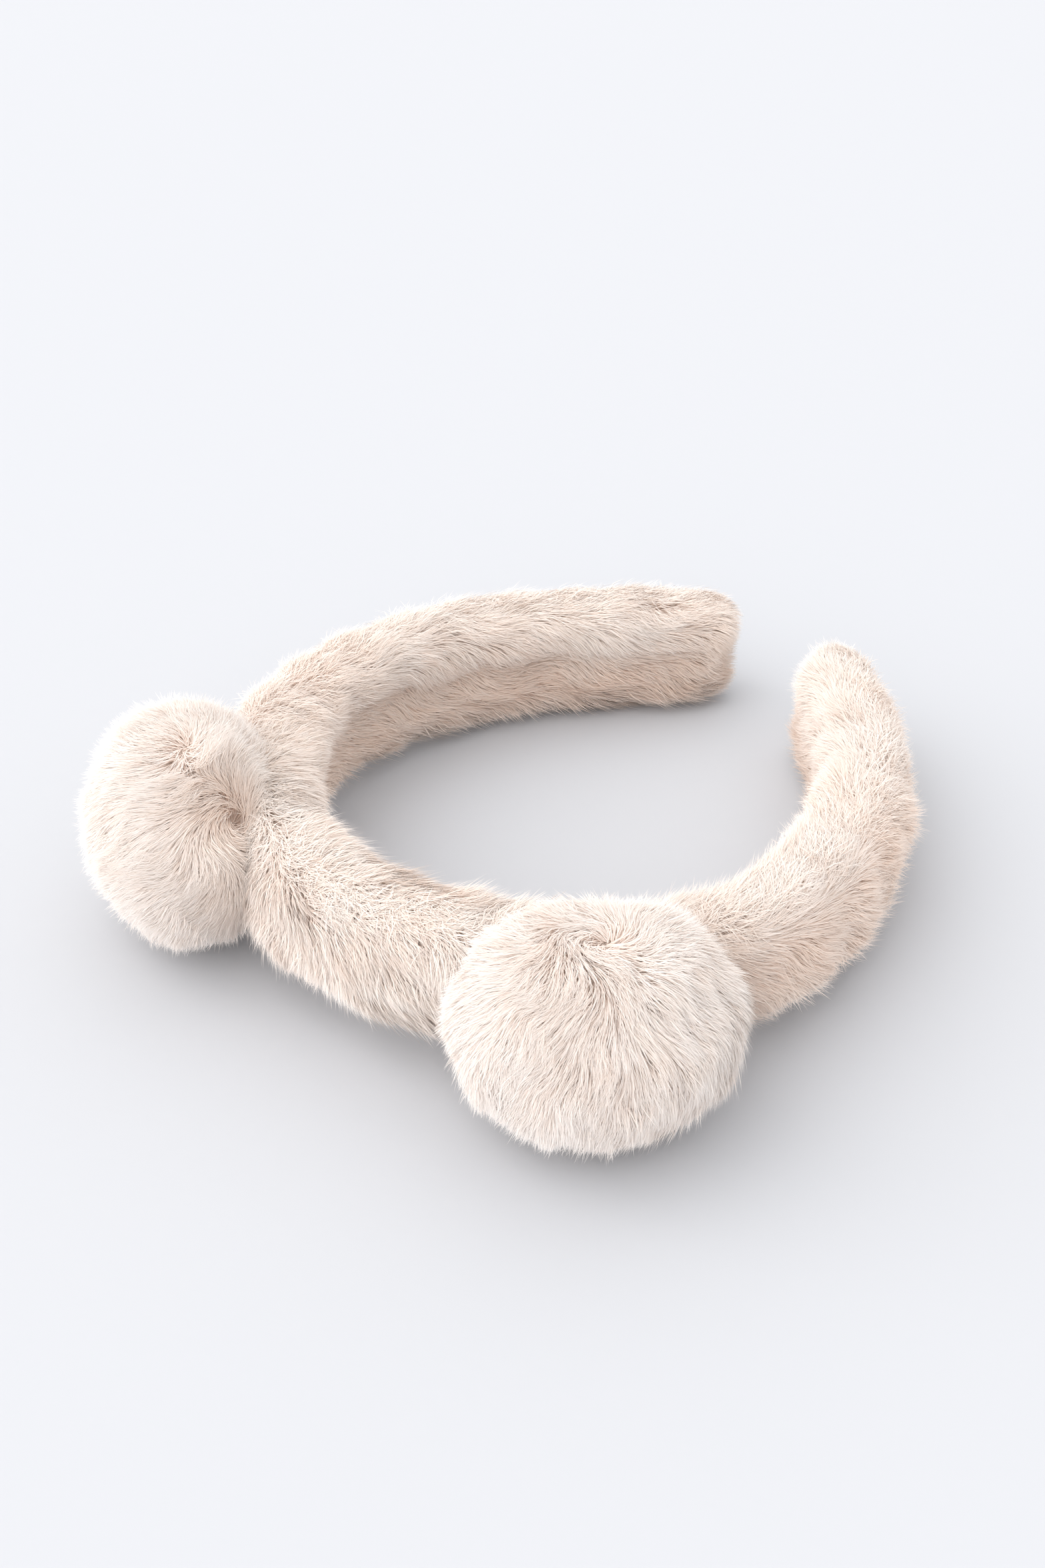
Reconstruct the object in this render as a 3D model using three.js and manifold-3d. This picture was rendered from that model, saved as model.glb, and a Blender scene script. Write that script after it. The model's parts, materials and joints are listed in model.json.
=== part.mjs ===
// A furry headband with two round animal ears, lying on its side as it rests on a table.
// The band is a stiff hoop wrapped in long-pile fur, sewn shut along its inner face.
// Each ear is a stuffed fur ball, gathered at its base and sewn to the outside of the band.
// Frame: +Z up, the floor at z = 0, the crown and the ears towards -Y, the open tips towards +Y.
// Lengths are in millimetres, and angles are in degrees unless a name says otherwise.

import * as THREE from "three";
import { mergeVertices } from "three/addons/utils/BufferGeometryUtils.js";
import Module from "manifold-3d";

const wasm = await Module();
wasm.setup();

// The arch, measured along the middle of the band: half an ellipse over the crown, then on each side
// an arm that bends inward and runs on straight to its tip
const archHalfWidth = 70;
const crownDepth = 68;
const armBend = 100;
const armTurn = 43;
const leftArmStraight = 42;
const rightArmStraight = 39;

// The band's section over the fur, and the rounding of its two tips
const bandWidth = 36;
const bandThickness = 26.5;
const tipRound = 12;
const tipDimple = 3;

// The height left at the very end of a tip, as a share of the whole section
const tipBluntness = 0.5;

// The sewn seam along the inner face, where the fur folds in
const seamDepth = 3.5;
const seamWidth = 9;

// The ears over the fur: how far along the band each is from the point between them, how far that
// point is to the right of the crown's middle, how far an ear stands out past the band, how deep its
// foot is let into the band's backing, and how far the floor holds it up from the middle of the band
const earSpread = 51.2;
const earShift = 3.7;
const earStand = 30;
const earBreadth = 65;
const earThickness = 57;
const earSink = 3;
const earRaise = 2.4;

// The gathers at the foot of each ear
const gatherCount = 7;
const gatherDepth = 1.6;

// The pile: how far it stands over its backing, and the size of one lock
const furRise = 3.5;
const lockLength = 19;
const lockWidth = 14;
const lockDepth = 5;
const lockDroop = 38;

// How far the pile is pressed flat on the floor under the ears and under the tips
const earPress = 1.5;
const tipPress = 0.6;

// The round patch of pressed fur under each ear: its radius on the floor, how much wider it is at its
// top, and its height up into the ear
const patchRadius = 9;
const patchFlare = 11;
const patchHeight = 7;

// The gap where an ear is sewn to the band
const seatGap = 0.3;

// The space that the band's locks leave round an ear's own locks
const partingGap = 2;

// How the locks are laid out
const bandLockStep = 23;
const bandLockRows = 6;
const earLockCount = 42;

// How unevenly they lie: shares of a step along the band and of a lock's size, and degrees round the band
const stepScatter = 0.25;
const sizeScatter = 0.15;
const turnScatter = 9;

// The stretch at each end of the band that holds no root of a lock, as a share of its length
const lockMargin = 0.027;

// How the fur lies on the band: how strongly it fans down the two faces, and how far its parting is
// turned from the top towards the outward face, in degrees
const fanStrength = 0.8;
const partingTurn = 20;

// How the fur is combed on an ear, beside straight away from its middle: out, down, and by chance
const earComb = { out: 0.25, down: 0.35, sway: 0.3 };

// How finely the shapes are drawn
const bandStep = 12;
const bandSides = 12;
const earSides = 14;

// The fullness of the band from its left tip to its right tip.
// along: place as a share of the whole length. wide, thick: shares of the band's width and thickness.
const bandSections = [
  { along: 0.0, wide: 0.9, thick: 0.92 },
  { along: 0.1, wide: 0.97, thick: 0.99 },
  { along: 0.22, wide: 1.0, thick: 1.0 },
  { along: 0.34, wide: 0.95, thick: 1.08 },
  { along: 0.42, wide: 1.0, thick: 1.04 },
  { along: 0.5, wide: 0.96, thick: 1.04 },
  { along: 0.58, wide: 1.0, thick: 1.0 },
  { along: 0.66, wide: 0.93, thick: 0.93 },
  { along: 0.78, wide: 1.0, thick: 1.0 },
  { along: 0.9, wide: 0.97, thick: 0.99 },
  { along: 1.0, wide: 0.9, thick: 0.94 },
];

// The profile of an ear from its foot to its top.
// up: share of the ear's length. round: share of its half breadth. fold: strength of the gathers.
const earSections = [
  { up: 0.0, round: 0.84, fold: 1 },
  { up: 0.1, round: 0.94, fold: 0.9 },
  { up: 0.2, round: 0.985, fold: 0.6 },
  { up: 0.3, round: 1.0, fold: 0.3 },
  { up: 0.45, round: 0.98, fold: 0.1 },
  { up: 0.6, round: 0.9, fold: 0 },
  { up: 0.74, round: 0.78, fold: 0 },
  { up: 0.86, round: 0.6, fold: 0 },
  { up: 0.95, round: 0.37, fold: 0 },
];

// A lock of fur from its root to its tip, which are points, with rings between them.
// ahead, rise: shares of its length and of the pile's rise. wide, deep: shares of its width and depth.
const lockSections = [
  { ahead: -0.5, rise: -0.8, wide: 0, deep: 0 },
  { ahead: -0.1, rise: 0.0, wide: 1.0, deep: 1.0 },
  { ahead: 0.35, rise: 0.5, wide: 0.75, deep: 0.7 },
  { ahead: 0.7, rise: 1.0, wide: 0, deep: 0 },
];

// The rings that close a tip of the band, as shares of its rounding
const tipRings = [0.04, 0.2, 0.5];

// Squareness of the band's section: 2 is an ellipse, and more is boxier
const sectionPower = 2.5;

const radians = THREE.MathUtils.degToRad;
const furColour = new THREE.Color(0xf1e2d8);
const earColour = new THREE.Color(0xf5e9e0);

// The arms of the middle line: the end of the right one's bend, and their tips
const armEnd = radians(armTurn);
const bendEnd = new THREE.Vector2(
  archHalfWidth - armBend * (1 - Math.cos(armEnd)),
  armBend * Math.sin(armEnd),
);
const armHeading = new THREE.Vector2(-Math.sin(armEnd), Math.cos(armEnd));
const rightTip = bendEnd.clone().addScaledVector(armHeading, rightArmStraight);
const mirrored = (point) => new THREE.Vector2(-point.x, point.y);
const leftTip = mirrored(bendEnd.clone().addScaledVector(armHeading, leftArmStraight));

// The middle line of the band, from the left tip to the right tip
const bendCentre = archHalfWidth - armBend;
const arch = new THREE.CurvePath();
arch.add(new THREE.LineCurve(leftTip, mirrored(bendEnd)));
arch.add(new THREE.EllipseCurve(-bendCentre, 0, armBend, armBend, Math.PI - armEnd, Math.PI));
arch.add(new THREE.EllipseCurve(0, 0, archHalfWidth, crownDepth, Math.PI, 2 * Math.PI));
arch.add(new THREE.EllipseCurve(bendCentre, 0, armBend, armBend, 0, armEnd));
arch.add(new THREE.LineCurve(bendEnd, rightTip));
const archLength = arch.getLength();
const [, crownStart, crownEnd] = arch.getCurveLengths();
const upward = new THREE.Vector3(0, 0, 1);

// The middle of the band, its direction and its outward side at a share of its length
function archFrame(share) {
  const { x, y } = arch.getPoint(share);
  const heading = arch.getTangent(share);
  return {
    middle: new THREE.Vector3(x, y, 0),
    along: new THREE.Vector3(heading.x, heading.y, 0),
    outward: new THREE.Vector3(heading.y, -heading.x, 0),
  };
}

// A value between the rows of a table, smoothed so that it has no corners
function fromTable(rows, key, place, column) {
  const next = Math.max(1, rows.findIndex((row) => row[key] >= place));
  const before = rows[next - 1];
  const after = rows[next];
  const share = (place - before[key]) / (after[key] - before[key]);
  return THREE.MathUtils.lerp(before[column], after[column], THREE.MathUtils.smoothstep(share, 0, 1));
}

// A repeatable value from -1 to 1 for each number and channel
function scatter(number, channel) {
  const wave = Math.sin(number * 12.9898 + channel * 78.233) * 43758.5453;
  return 2 * (wave - Math.floor(wave)) - 1;
}

// How much the section has shrunk towards the nearer tip
function tipTaper(share) {
  const fromTip = Math.min(share, 1 - share) * archLength;
  const missing = Math.max(0, 1 - fromTip / tipRound);
  return Math.sqrt(Math.max(0, 1 - missing * missing));
}

// A point on the band's backing, or grown by an amount over it.
// Turn 0 faces outward, 90 faces up, 180 is the seam on the inner face.
function bandPoint(share, turn, grow = 0) {
  const { middle, outward } = archFrame(share);
  const taper = tipTaper(share);
  const thick = fromTable(bandSections, "along", share, "thick") * bandThickness / 2;
  const wide = fromTable(bandSections, "along", share, "wide") * bandWidth / 2;
  const power = 2 / sectionPower;
  const cosine = Math.cos(radians(turn));
  const sine = Math.sin(radians(turn));
  let out = Math.sign(cosine) * Math.abs(cosine) ** power * ((thick - furRise) * taper + grow);
  const height = (wide - furRise) * (tipBluntness + (1 - tipBluntness) * taper) + grow;
  const up = Math.sign(sine) * Math.abs(sine) ** power * height;
  if (cosine < 0) {
    out += seamDepth * taper * Math.exp(-((2 * up / seamWidth) ** 2));
  }
  return middle.addScaledVector(outward, out).addScaledVector(upward, up);
}

// A closed skin over rings of points, with a point to close each end
function loft(rings, startPoint, endPoint) {
  const sides = rings[0].length;
  const points = [startPoint, ...rings.flat(), endPoint];
  const last = points.length - 1;
  const faces = [];
  const at = (ring, side) => 1 + ring * sides + (side % sides);
  for (let side = 0; side < sides; side++) {
    faces.push(0, at(0, side + 1), at(0, side));
    faces.push(last, at(rings.length - 1, side), at(rings.length - 1, side + 1));
    for (let ring = 0; ring < rings.length - 1; ring++) {
      faces.push(at(ring, side), at(ring, side + 1), at(ring + 1, side + 1));
      faces.push(at(ring, side), at(ring + 1, side + 1), at(ring + 1, side));
    }
  }
  const geometry = new THREE.BufferGeometry().setFromPoints(points);
  geometry.setIndex(faces);
  return geometry;
}

// The places of the left and the right ear as shares of the band's length, the depth of their feet
// from the band's middle line, and their whole length
const betweenEars = (crownStart + crownEnd) / 2 + earShift;
const earPlaces = [-earSpread, earSpread].map((run) => (betweenEars + run) / archLength);
const earFoot = bandThickness / 2 - furRise - earSink;
const earLength = earSink + furRise + earStand;
const earWaist = earSections.find((row) => row.round === 1).up * earLength;

// How the headband lies: tilted a little, so that the thick ears and the slim tips all touch the floor
const earFrame = archFrame(earPlaces[1]);
const earMiddle = earFrame.middle.addScaledVector(earFrame.outward, earFoot + earWaist);
const crownLift = earThickness / 2 - earPress - earRaise;
const tipLift = bandWidth / 2 - tipPress;
const restTilt = Math.atan2(crownLift - tipLift, bendEnd.y - earMiddle.y);
const lay = new THREE.Matrix4().makeRotationX(-restTilt);
lay.setPosition(0, 0, crownLift + earMiddle.y * Math.sin(restTilt));

// How close two corners of a solid are when they are one
const mergeDistance = 1e-5;

// A solid from a closed geometry, laid as the headband lies
function solidOf(geometry, laid = true) {
  const bare = geometry.clone();
  bare.deleteAttribute("normal");
  bare.deleteAttribute("uv");
  if (laid) {
    bare.applyMatrix4(lay);
  }
  const merged = mergeVertices(bare, mergeDistance);
  return new wasm.Manifold(new wasm.Mesh({
    numProp: 3,
    vertProperties: new Float32Array(merged.attributes.position.array),
    triVerts: new Uint32Array(merged.index.array),
  }));
}

// The outer skin of a solid, without any small pocket that crossing locks shut in
function outerSkin(solid) {
  const mesh = solid.getMesh();
  const parent = Array.from({ length: mesh.numVert }, (_, index) => index);
  const find = (index) => {
    while (parent[index] !== index) {
      parent[index] = parent[parent[index]];
      index = parent[index];
    }
    return index;
  };
  for (let corner = 0; corner < mesh.triVerts.length; corner += 3) {
    const [first, second, third] = mesh.triVerts.slice(corner, corner + 3);
    parent[find(first)] = find(second);
    parent[find(second)] = find(third);
  }
  const counts = new Map();
  for (const corner of mesh.triVerts) {
    counts.set(find(corner), (counts.get(find(corner)) ?? 0) + 1);
  }
  const biggest = [...counts].reduce((best, entry) => (entry[1] > best[1] ? entry : best))[0];
  const kept = [];
  for (let corner = 0; corner < mesh.triVerts.length; corner += 3) {
    if (find(mesh.triVerts[corner]) === biggest) {
      kept.push(...mesh.triVerts.slice(corner, corner + 3));
    }
  }
  const positions = [];
  for (let vertex = 0; vertex < mesh.numVert; vertex++) {
    const start = vertex * mesh.numProp;
    positions.push(...mesh.vertProperties.slice(start, start + 3));
  }
  const geometry = new THREE.BufferGeometry();
  geometry.setAttribute("position", new THREE.Float32BufferAttribute(positions, 3));
  geometry.setIndex(kept);
  const flat = geometry.toNonIndexed();
  flat.computeVertexNormals();
  return flat;
}

// One lock of fur, lying along a surface: root under the surface, tip standing over it
function lock(root, normal, flow, size) {
  const side = new THREE.Vector3().crossVectors(normal, flow).normalize();
  const centres = lockSections.map((row) => {
    const run = row.ahead * lockLength * size;
    return root.clone()
      .addScaledVector(flow, run)
      .addScaledVector(normal, row.rise * furRise - run * run / (2 * lockDroop));
  });
  const rings = lockSections.map((row, index) => {
    const halfWidth = row.wide * lockWidth * size / 2;
    const halfDepth = row.deep * lockDepth / 2;
    const low = centres[index].clone().addScaledVector(normal, -halfDepth);
    return [
      low.clone().addScaledVector(side, halfWidth),
      centres[index].clone().addScaledVector(normal, halfDepth),
      low.clone().addScaledVector(side, -halfWidth),
    ];
  });
  return solidOf(loft(rings.slice(1, -1), centres[0], centres.at(-1)));
}

// Joins a list of solids pair by pair, which keeps each join small
function fuse(solids) {
  let pool = solids;
  while (pool.length > 1) {
    const joined = [];
    for (let index = 0; index < pool.length; index += 2) {
      joined.push(index + 1 < pool.length ? pool[index].add(pool[index + 1]) : pool[index]);
    }
    pool = joined;
  }
  return pool[0];
}

// The band's backing as a closed body, grown by an amount for the cut that seats an ear
function bandCore(grow = 0) {
  const straight = archLength - 2 * tipRound;
  const steps = Math.round(straight / bandStep);
  const places = tipRings.map((share) => share * tipRound);
  for (let step = 0; step <= steps; step++) {
    places.push(tipRound + straight * step / steps);
  }
  places.push(...tipRings.toReversed().map((share) => archLength - share * tipRound));
  const rings = places.map((place) => {
    const ring = [];
    for (let side = 0; side < bandSides; side++) {
      ring.push(bandPoint(place / archLength, -360 * side / bandSides, grow));
    }
    return ring;
  });
  const dimple = (share, inward) => {
    const { middle, along } = archFrame(share);
    return middle.addScaledVector(along, inward * (tipDimple - grow));
  };
  return loft(rings, dimple(0, 1), dimple(1, -1));
}

// How close the points are that give the directions of the band's surface: a share, and degrees
const shareStep = 0.002;
const turnStep = 4;

// The direction in which the fur lies on the band: from the left ear towards each tip, and fanning
// from its top to its foot
function bandFlow(share, turn) {
  const here = bandPoint(share, turn);
  const ahead = bandPoint(share + shareStep, turn).sub(bandPoint(share - shareStep, turn)).normalize();
  const round = bandPoint(share, turn - turnStep).sub(here).normalize();
  const normal = new THREE.Vector3().crossVectors(round, ahead).normalize();
  const fan = fanStrength * Math.cos(radians(turn + partingTurn));
  const nap = share < earPlaces[0] ? -1 : 1;
  const flow = ahead.multiplyScalar(nap).addScaledVector(round, fan).normalize();
  return { here, normal, flow };
}

// The ear's own frame: +X out from the band, +Y along the band, +Z up through the front of the ear
function earMatrix(place) {
  const { middle, along, outward } = archFrame(place);
  const matrix = new THREE.Matrix4().makeBasis(outward, along, upward);
  return matrix.setPosition(middle.addScaledVector(outward, earFoot).addScaledVector(upward, earRaise));
}

// A closed ear body whose surface lies an amount under the outside of the fur
function earBody(under, folded) {
  const half = earBreadth / 2;
  const rings = earSections.map((row) => {
    const ring = [];
    for (let side = 0; side < earSides; side++) {
      const turn = -2 * Math.PI * side / earSides;
      const fold = folded ? gatherDepth * row.fold * Math.cos(gatherCount * turn) : 0;
      const round = row.round * half - under + fold;
      ring.push(new THREE.Vector3(
        row.up * (earLength - under),
        Math.sin(turn) * round,
        Math.cos(turn) * (round - row.round * (earBreadth - earThickness) / 2),
      ));
    }
    return ring;
  });
  const foot = new THREE.Vector3(0, 0, 0);
  const top = new THREE.Vector3(earLength - under, 0, 0);
  return loft(rings, foot, top);
}

// An ear's locks that point into the band more than this, as a share of straight in, are left out
const footShadow = 0.25;

// The turn from each lock of an ear to the next, which spreads them evenly
const goldenTurn = Math.PI * (3 - Math.sqrt(5));

// The locks of one ear, combed away from a whorl on the face that looks up
function earLocks(matrix, seed) {
  const locks = [];
  const middle = new THREE.Vector3(earWaist, 0, 0);
  const half = new THREE.Vector3(earLength - earWaist, earBreadth / 2, earThickness / 2).subScalar(furRise);
  for (let index = 0; index < earLockCount; index++) {
    const height = 1 - 2 * (index + 0.5) / earLockCount;
    const round = Math.sqrt(1 - height * height);
    const turn = goldenTurn * index + seed;
    const ray = new THREE.Vector3(Math.cos(turn) * round, Math.sin(turn) * round, height);
    if (ray.x < -footShadow) {
      continue;
    }
    const root = ray.clone().multiply(half).add(middle);
    const normal = ray.clone().divide(half).normalize();
    const sway = earComb.sway * scatter(index, seed);
    const comb = new THREE.Vector3(ray.x + earComb.out, ray.y, sway - earComb.down);
    const flow = comb.addScaledVector(normal, -comb.dot(normal)).normalize();
    root.applyMatrix4(matrix);
    normal.transformDirection(matrix);
    flow.transformDirection(matrix);
    locks.push(lock(root, normal, flow, 1 + sizeScatter * scatter(index, seed + 1)));
  }
  return locks;
}

// Everything under the floor, which presses the fur flat where it lies
const floorReach = archHalfWidth + crownDepth + armBend + leftArmStraight + earLength;
const floorBox = new THREE.BoxGeometry(4 * floorReach, 4 * floorReach, earThickness);
const underFloor = solidOf(floorBox.translate(0, 0, -earThickness / 2), false);

// The fur that an ear's weight presses into a round patch on the floor
function pressedPatch(matrix) {
  const { x, y } = new THREE.Vector3(earWaist, 0, 0).applyMatrix4(matrix).applyMatrix4(lay);
  const above = patchRadius + patchFlare;
  const below = patchRadius - earPress * patchFlare / patchHeight;
  const patch = new THREE.CylinderGeometry(above, below, patchHeight + earPress, earSides);
  patch.rotateX(Math.PI / 2).translate(x, y, (patchHeight - earPress) / 2);
  return solidOf(patch, false);
}

// One sewn-on ear
function earSolid(place, seed) {
  const matrix = earMatrix(place);
  const core = solidOf(earBody(furRise, true).applyMatrix4(matrix));
  const furred = core.add(fuse(earLocks(matrix, seed))).add(pressedPatch(matrix));
  return furred.subtract(solidOf(bandCore(seatGap))).subtract(underFloor);
}

// The furred band, whose locks stay clear of the ears that are sewn on it
function bandSolid() {
  const locks = [];
  const steps = Math.round((archLength - tipRound) / bandLockStep);
  for (let step = 0; step <= steps; step++) {
    for (let row = 0; row < bandLockRows; row++) {
      const number = step * bandLockRows + row;
      const shift = (row % 2) / 2 + stepScatter * scatter(number, 1);
      const along = (step + shift) / (steps + 0.5);
      const turn = 360 * (row + 0.5) / bandLockRows + turnScatter * scatter(number, 2);
      const share = THREE.MathUtils.clamp(along, lockMargin, 1 - lockMargin);
      const { here, normal, flow } = bandFlow(share, turn);
      locks.push(lock(here, normal, flow, 1 - sizeScatter * Math.abs(scatter(number, 3))));
    }
  }
  const clearings = earPlaces.map((place) => (
    solidOf(earBody(-partingGap, false).applyMatrix4(earMatrix(place)))
  ));
  const fur = fuse(locks).subtract(clearings[0]).subtract(clearings[1]);
  return solidOf(bandCore()).add(fur).subtract(underFloor);
}

function fabric(colour) {
  return new THREE.MeshStandardMaterial({ color: colour, roughness: 0.95, metalness: 0 });
}

function named(name, solid, colour) {
  const mesh = new THREE.Mesh(outerSkin(solid), fabric(colour));
  mesh.name = name;
  return mesh;
}

const headband = new THREE.Group();
headband.add(named("band", bandSolid(), furColour));
headband.add(named("ear_left", earSolid(earPlaces[0], 1), earColour));
headband.add(named("ear_right", earSolid(earPlaces[1], 2), earColour));

// The origin is on the floor, under the middle of the whole headband
const box = new THREE.Box3().setFromObject(headband);
const centre = box.getCenter(new THREE.Vector3());
headband.position.set(-centre.x, -centre.y, 0);

export default headband;
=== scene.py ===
# A furry headband with two round animal ears, lying on its side on a pale table.
# The long pile is made of tapered strands, which grow from under the fur's surface and gather in locks.
# Lengths are in metres. The hoop's own frame has +X to its right, +Y towards its open tips and +Z up.
# Turns and reaches without a unit are in radians, or in shares of an ear's half sizes.

import json
import math

import bpy
import numpy as np
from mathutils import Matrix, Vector, kdtree


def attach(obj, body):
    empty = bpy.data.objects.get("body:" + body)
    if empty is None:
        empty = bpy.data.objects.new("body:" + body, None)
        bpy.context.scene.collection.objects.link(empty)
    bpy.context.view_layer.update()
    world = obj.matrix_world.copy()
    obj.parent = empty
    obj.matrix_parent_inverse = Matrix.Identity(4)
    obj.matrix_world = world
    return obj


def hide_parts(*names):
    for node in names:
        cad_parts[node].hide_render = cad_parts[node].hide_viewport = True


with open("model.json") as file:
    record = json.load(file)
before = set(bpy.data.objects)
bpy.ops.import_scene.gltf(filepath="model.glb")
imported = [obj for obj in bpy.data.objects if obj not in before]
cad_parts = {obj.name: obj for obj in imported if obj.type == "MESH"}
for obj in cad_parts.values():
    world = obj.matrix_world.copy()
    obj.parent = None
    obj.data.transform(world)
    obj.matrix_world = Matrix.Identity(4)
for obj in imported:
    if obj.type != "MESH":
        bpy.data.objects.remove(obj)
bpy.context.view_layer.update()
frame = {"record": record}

MM = 0.001

# The arch along the middle of the band, as in the part
ARCH_HALF_WIDTH = 70 * MM
CROWN_DEPTH = 68 * MM
ARM_BEND = 100 * MM
ARM_TURN = math.radians(43)
LEFT_STRAIGHT = 42 * MM
RIGHT_STRAIGHT = 39 * MM

# The band's section over its fur, the rounding of its tips and the seam on its inner face
BAND_WIDTH = 36 * MM
BAND_THICKNESS = 26.5 * MM
SECTION_POWER = 2.5
TIP_ROUND = 12 * MM
TIP_BLUNTNESS = 0.5
SEAM_DEPTH = 2.8 * MM
SEAM_WIDTH = 5.5 * MM
SEAM_FADE = 95 * MM

# The swell of the fur inward beside the left ear: its place and reach as shares of the band's length
SWELL_HEIGHT = 3.2 * MM
SWELL_PLACE = 0.375
SWELL_REACH = 0.035

# The ears over their fur: where they stand on the band and how large they are
EAR_SPREAD = 51.2 * MM
EAR_SHIFT = 3.7 * MM
EAR_STAND = 30 * MM
EAR_BREADTH = 65 * MM
EAR_THICKNESS = 57 * MM
EAR_SINK = 3 * MM
EAR_RAISE = 2.4 * MM
EAR_WAIST_SHARE = 0.3

# On the band's side an ear is a half ball of EAR_BACK waists, cut off at EAR_CLOSING waists
EAR_BACK = 2
EAR_CLOSING = 1.75

# The fur's height over the band's backing, and how far the ears and the tips press into the table
FUR_RISE = 3.5 * MM
EAR_PRESS = 1.5 * MM
TIP_PRESS = 0.6 * MM

# The fullness of the band from its left tip to its right tip.
# along: share of its length. wide, thick: shares of its width and thickness.
BAND_SECTIONS = [
    dict(along=0.0, wide=0.9, thick=0.92),
    dict(along=0.1, wide=0.97, thick=0.99),
    dict(along=0.22, wide=1.0, thick=1.0),
    dict(along=0.34, wide=0.95, thick=1.08),
    dict(along=0.42, wide=1.0, thick=1.04),
    dict(along=0.5, wide=0.96, thick=1.04),
    dict(along=0.58, wide=1.0, thick=1.0),
    dict(along=0.66, wide=0.93, thick=0.93),
    dict(along=0.78, wide=1.0, thick=1.0),
    dict(along=0.9, wide=0.97, thick=0.99),
    dict(along=1.0, wide=0.9, thick=0.94),
]

# How the fur lies along the band.
# nap: towards the right tip, or the left one if negative. fall: from its top to its foot.
# parting: where it parts, in degrees round the section from the outer face over the top.
BAND_NAP = [
    dict(along=0.0, nap=-1.0, fall=0.35, parting=75),
    dict(along=0.1, nap=-0.95, fall=0.45, parting=75),
    dict(along=0.25, nap=-0.8, fall=0.55, parting=75),
    dict(along=0.35, nap=-0.5, fall=0.7, parting=70),
    dict(along=0.42, nap=0.15, fall=1.0, parting=65),
    dict(along=0.5, nap=0.6, fall=0.85, parting=65),
    dict(along=0.57, nap=0.85, fall=0.6, parting=65),
    dict(along=0.64, nap=0.9, fall=0.45, parting=70),
    dict(along=0.8, nap=1.0, fall=0.35, parting=75),
    dict(along=1.0, nap=1.0, fall=0.2, parting=75),
]

# The stretches of the band whose pile is one piece each, as shares of its length
BAND_STRETCHES = [
    dict(name="band_fur_left", start=0.0, end=0.36),
    dict(name="band_fur_crown", start=0.36, end=0.64),
    dict(name="band_fur_right", start=0.64, end=1.0),
]

# Where the ears' fur parts: directions from the ear's middle, out from the band, along it and up.
# pull: how strongly the strands turn away from there. painted_shade: how much warmer and darker
# the fur is painted around it, as painted shade where strands part and where an ear meets the band.
# fill: how much of the parting's shorter, flatter and shallower strands, below, it has.
EAR_PARTINGS = {
    "ear_left": [
        dict(out=0.02, along=0.25, up=0.97, pull=0.4, painted_shade=0.1, fill=0.8),
        dict(out=-0.42, along=0.75, up=0.52, pull=1.0, painted_shade=0.8, fill=0.1),
    ],
    "ear_right": [
        dict(out=0.26, along=0.0, up=0.96, pull=1.0, painted_shade=0.0, fill=0.8),
        dict(out=-0.5, along=0.8, up=-0.1, pull=0.3, painted_shade=0.3, fill=0.0),
    ],
}

# The pile. root_lean and tip_lean: how far a strand leans from the skin's normal, in degrees.
# least_lean: the least that any strand leans, in radians. lock and tuft: sizes of the locks and of
# the tufts in them, with how strongly each gathers. The waves and the ripple: how much the length
# (a share), the lean and the direction (degrees) vary over the skin.
BAND_PILE = dict(
    length=10 * MM,
    root_lean=44,
    tip_lean=80,
    least_lean=0.1,
    lock=5.0 * MM,
    lock_pull=0.08,
    tuft=1.3 * MM,
    tuft_pull=0.16,
    length_wave=0.1,
    lean_wave=6,
    swing_wave=22,
    swing_size=20 * MM,
    swing_ripple=17,
    wave_seed=5,
)
EAR_PILE = dict(
    length=9 * MM,
    root_lean=40,
    tip_lean=78,
    least_lean=0.05,
    lock=5.5 * MM,
    lock_pull=0.08,
    tuft=1.1 * MM,
    tuft_pull=0.2,
    length_wave=0.07,
    lean_wave=5,
    swing_wave=20,
    swing_size=18 * MM,
    swing_ripple=16,
    wave_seed=15,
)

# The most that any strand leans, in radians
MOST_LEAN = 1.62

# Sizes of the waves over the skin, and how much single strands differ: a share and degrees
LENGTH_SIZE = 14 * MM
LEAN_SIZE = 11 * MM
RIPPLE_SIZE = 6 * MM
LENGTH_SPREAD = 0.12
LEAN_SPREAD = 6
SWING_SPREAD = 12

# The share of the strands that lean less than the rest, and by how many degrees
STANDING_SHARE = 0.1
STANDING_TURN = 16

# The strands of a piece, how deep their roots and the skin lie, and a strand's widths from the root
STRANDS = 62000
ROOT_DEPTH = 4.8 * MM
SKIN_DEPTH = 4.0 * MM
STRAND_WIDTHS = [0.19 * MM, 0.15 * MM]

# A strand grows in steps, and one piece of its ribbon spans some of them
STEPS_PER_PIECE = 3
STEPS = STEPS_PER_PIECE * len(STRAND_WIDTHS)

# Roots tried for each strand, as some lie inside another part of the headband
BAND_TRIES = 1.6
EAR_TRIES = 1.5

# The band has no roots inside this share of an ear, nor an ear any deeper than this in the band
EAR_CORE = 0.82
EAR_BURIAL = 3.5 * MM

# An ear's mean radius, from which its fur's area is reckoned
EAR_RADIUS = 29 * MM

# How near to the band's very ends its roots start and its strands may grow
ROOT_END = 0.03 * MM
STRAND_END = 0.05 * MM

# Where the fur parts its strands are shorter, lean more and are rooted nearer to the surface.
# On the band they also turn every way there, by PARTING_SWING.
PARTING_REACH = 0.4
EAR_PARTING_REACH = 0.22
PARTING_SHORT = 0.25
PARTING_LEAN = math.radians(16)
PARTING_FILL = 0.5
PARTING_SWING = 0.8

# Across an ear from its partings the strands meet: they are shorter and turn every way
MEETING_REACH = 0.5
MEETING_SHORT = 0.35
MEETING_SWING = 0.9

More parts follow.
